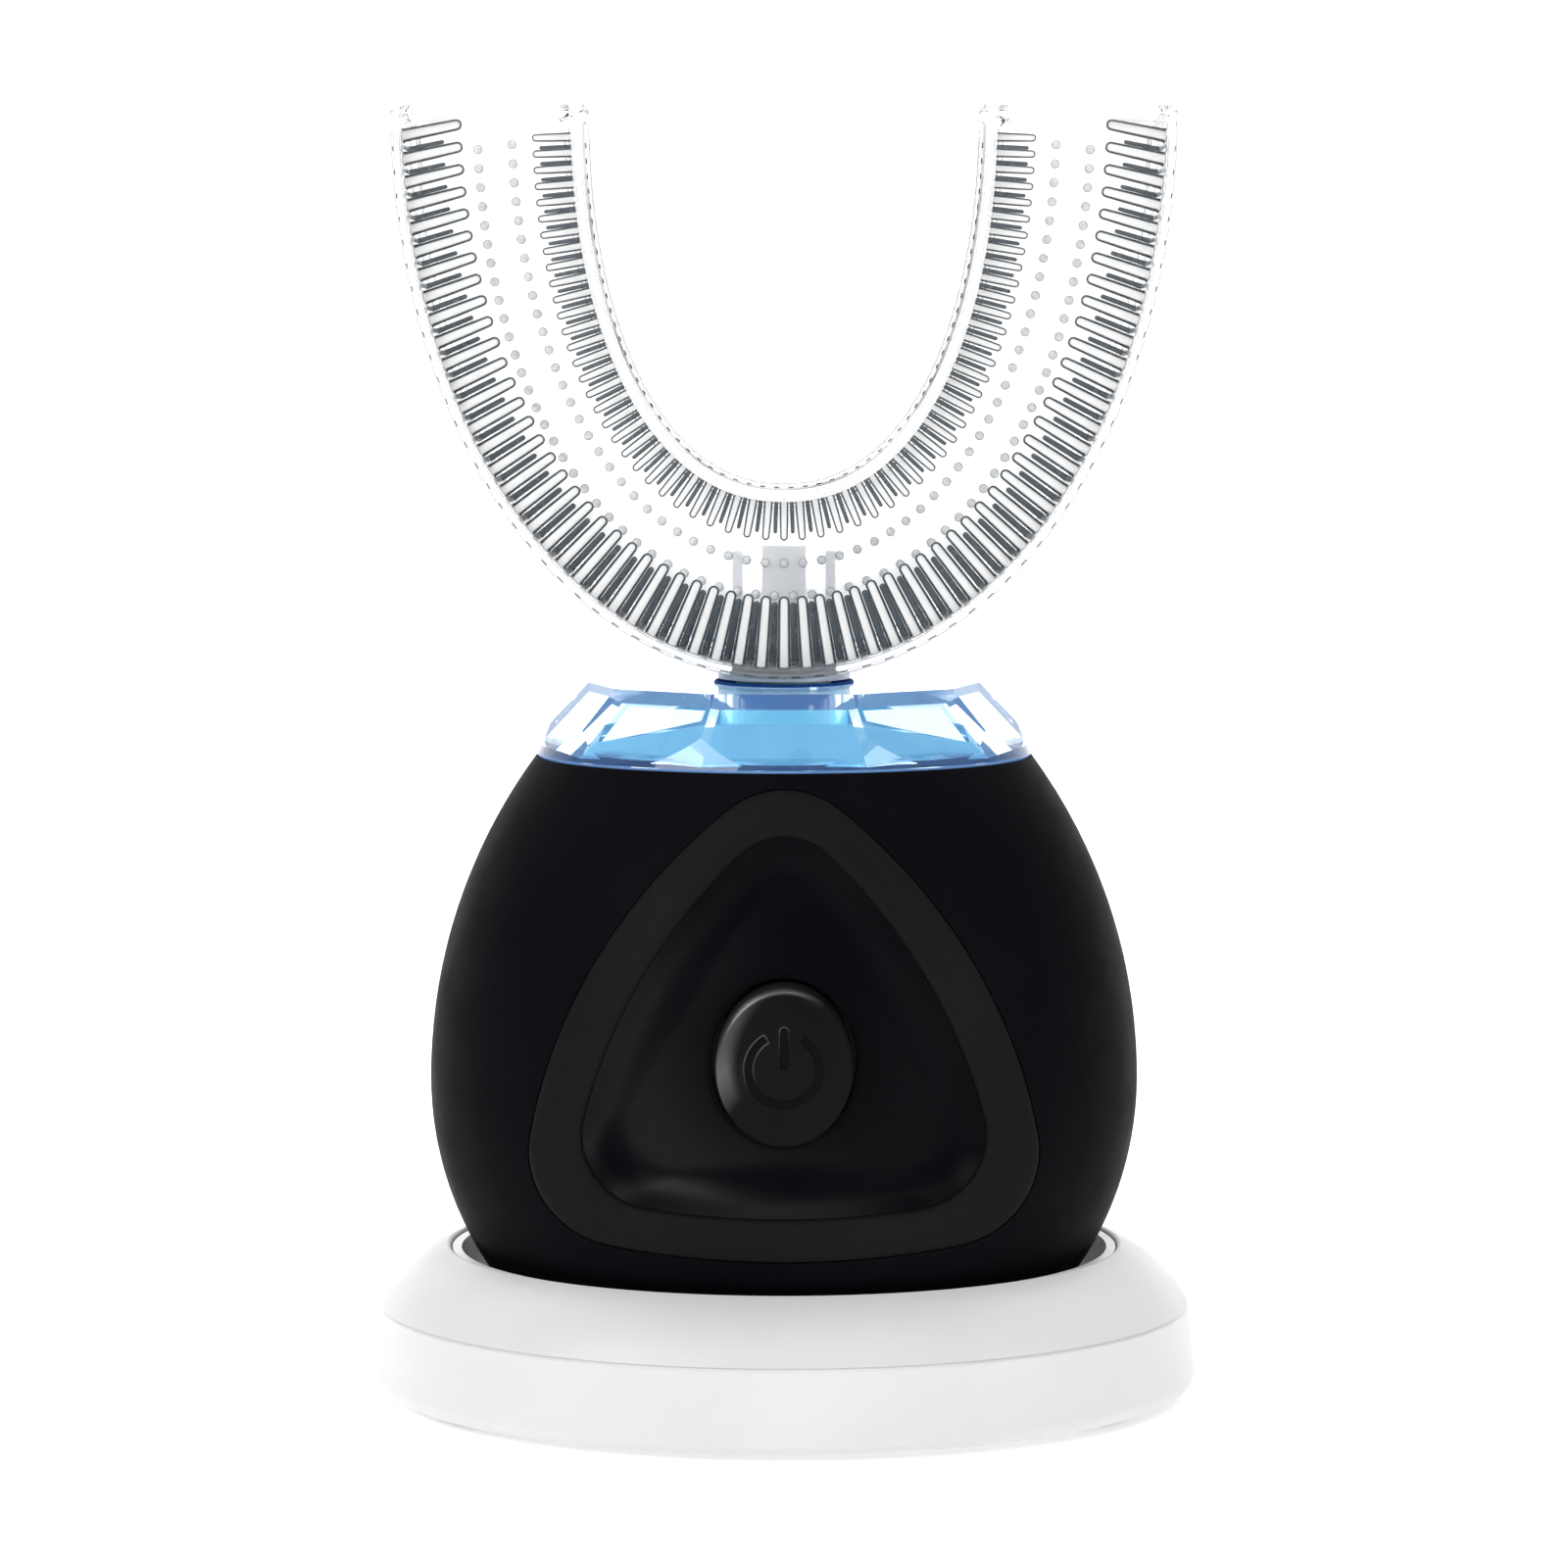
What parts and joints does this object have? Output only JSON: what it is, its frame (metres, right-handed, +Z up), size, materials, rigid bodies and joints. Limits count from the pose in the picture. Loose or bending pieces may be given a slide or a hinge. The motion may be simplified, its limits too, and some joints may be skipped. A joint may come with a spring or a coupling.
{
  "type": "u-shaped automatic toothbrush",
  "caption": "Clear U-shaped silicone toothbrush mouthpiece on a rounded black handle with a lit window, standing in an oval charging base.",
  "frame": {"origin": "middle of the charging base's underside, on the surface its feet stand on", "axes": "+Z up, -Y towards the side with the power button, +X to the viewer's right"},
  "size_m": [0.0666, 0.0552, 0.103],
  "materials": {
    "base_white": "satin white",
    "base_grey": "satin light grey",
    "dark_plastic": "matt",
    "foot_rubber": "matt",
    "screw_steel": "bright zinc",
    "weight_steel": "plain",
    "board_green": "solder mask",
    "board_white": "white solder mask",
    "chip_black": "moulded",
    "ferrite": "sintered",
    "copper": "enamelled copper",
    "socket_metal": "plated",
    "body_black": "satin black",
    "band_black": "satin black",
    "panel_black": "satin black",
    "button_black": "satin black",
    "seal_grey": "matt",
    "seal_blue": "soft",
    "clear": "clear",
    "light_plate": "frosted",
    "led": "lit blue",
    "frame_grey": "moulded",
    "cell_wrap": "film wrapped",
    "foam": "foam",
    "motor_steel": "drawn",
    "bearing": "ground",
    "magnet": "nickel plated",
    "shaft_steel": "ground",
    "insert": "translucent",
    "silicone": "clear silicone"
  },
  "bodies": {
    "charging_base": {"base_shell": "base_white", "base_top_ring": "base_grey", "seat_cup": "base_white", "base_bottom_plate": "base_white", "rubber_feet": "foot_rubber", "base_screws": "screw_steel", "base_circuit_board": "board_green", "base_chips": "chip_black", "base_ferrite": "ferrite", "base_charging_coil": "copper", "usb_socket": "socket_metal", "base_weights": "weight_steel"},
    "handle": {"body_shell": "body_black", "trim_band": "band_black", "dish_panel": "panel_black", "bottom_cap": "dark_plastic", "bottom_oring": "seal_grey", "receiving_coil": "copper", "receiving_ferrite": "ferrite", "chassis": "frame_grey", "battery_cells": "cell_wrap", "battery_pads": "foam", "main_circuit_board": "board_green", "main_board_chips": "chip_black", "tact_switch": "screw_steel", "switch_plunger": "dark_plastic", "board_screws": "screw_steel", "motor_can": "motor_steel", "motor_end_cap": "motor_steel", "motor_coils": "copper", "upper_bearing": "bearing", "lower_bearing": "bearing", "motor_screws": "screw_steel", "led_board": "board_white", "blue_leds": "led", "light_plate": "light_plate", "neck_tube": "clear", "shaft_seal": "seal_blue", "socket_seal": "seal_blue", "window_cap": "clear", "window_gasket": "seal_grey"},
    "power_button": {"power_button": "button_black"},
    "drive_spindle": {"drive_shaft": "shaft_steel", "rotor_magnet": "magnet", "shaft_collar": "shaft_steel"},
    "mouthpiece": {"mouthpiece_insert": "insert", "mouthpiece_tray": "silicone", "outer_bristles": "silicone", "inner_bristles": "silicone", "floor_nubs": "silicone"}
  },
  "joints": [
    {"name": "handle_lift", "type": "slide", "parent": "charging_base", "child": "handle", "axis": [0, 0, 1], "range_m": [0, 0.045]},
    {"name": "button_press", "type": "slide", "parent": "handle", "child": "power_button", "axis": [0, 1, 0], "range_m": [0, 0.0005], "stiffness_N_per_m": 2000, "springref_m": -0.0003},
    {"name": "spindle_swing", "type": "hinge", "parent": "handle", "child": "drive_spindle", "pos_m": [0, 0, 0.034], "axis": [0, 0, 1], "range_deg": [-3, 3], "stiffness_Nm_per_rad": 0.08},
    {"name": "mouthpiece_pull", "type": "slide", "parent": "drive_spindle", "child": "mouthpiece", "axis": [0, 0, 1], "range_m": [0, 0.016]}
  ]
}
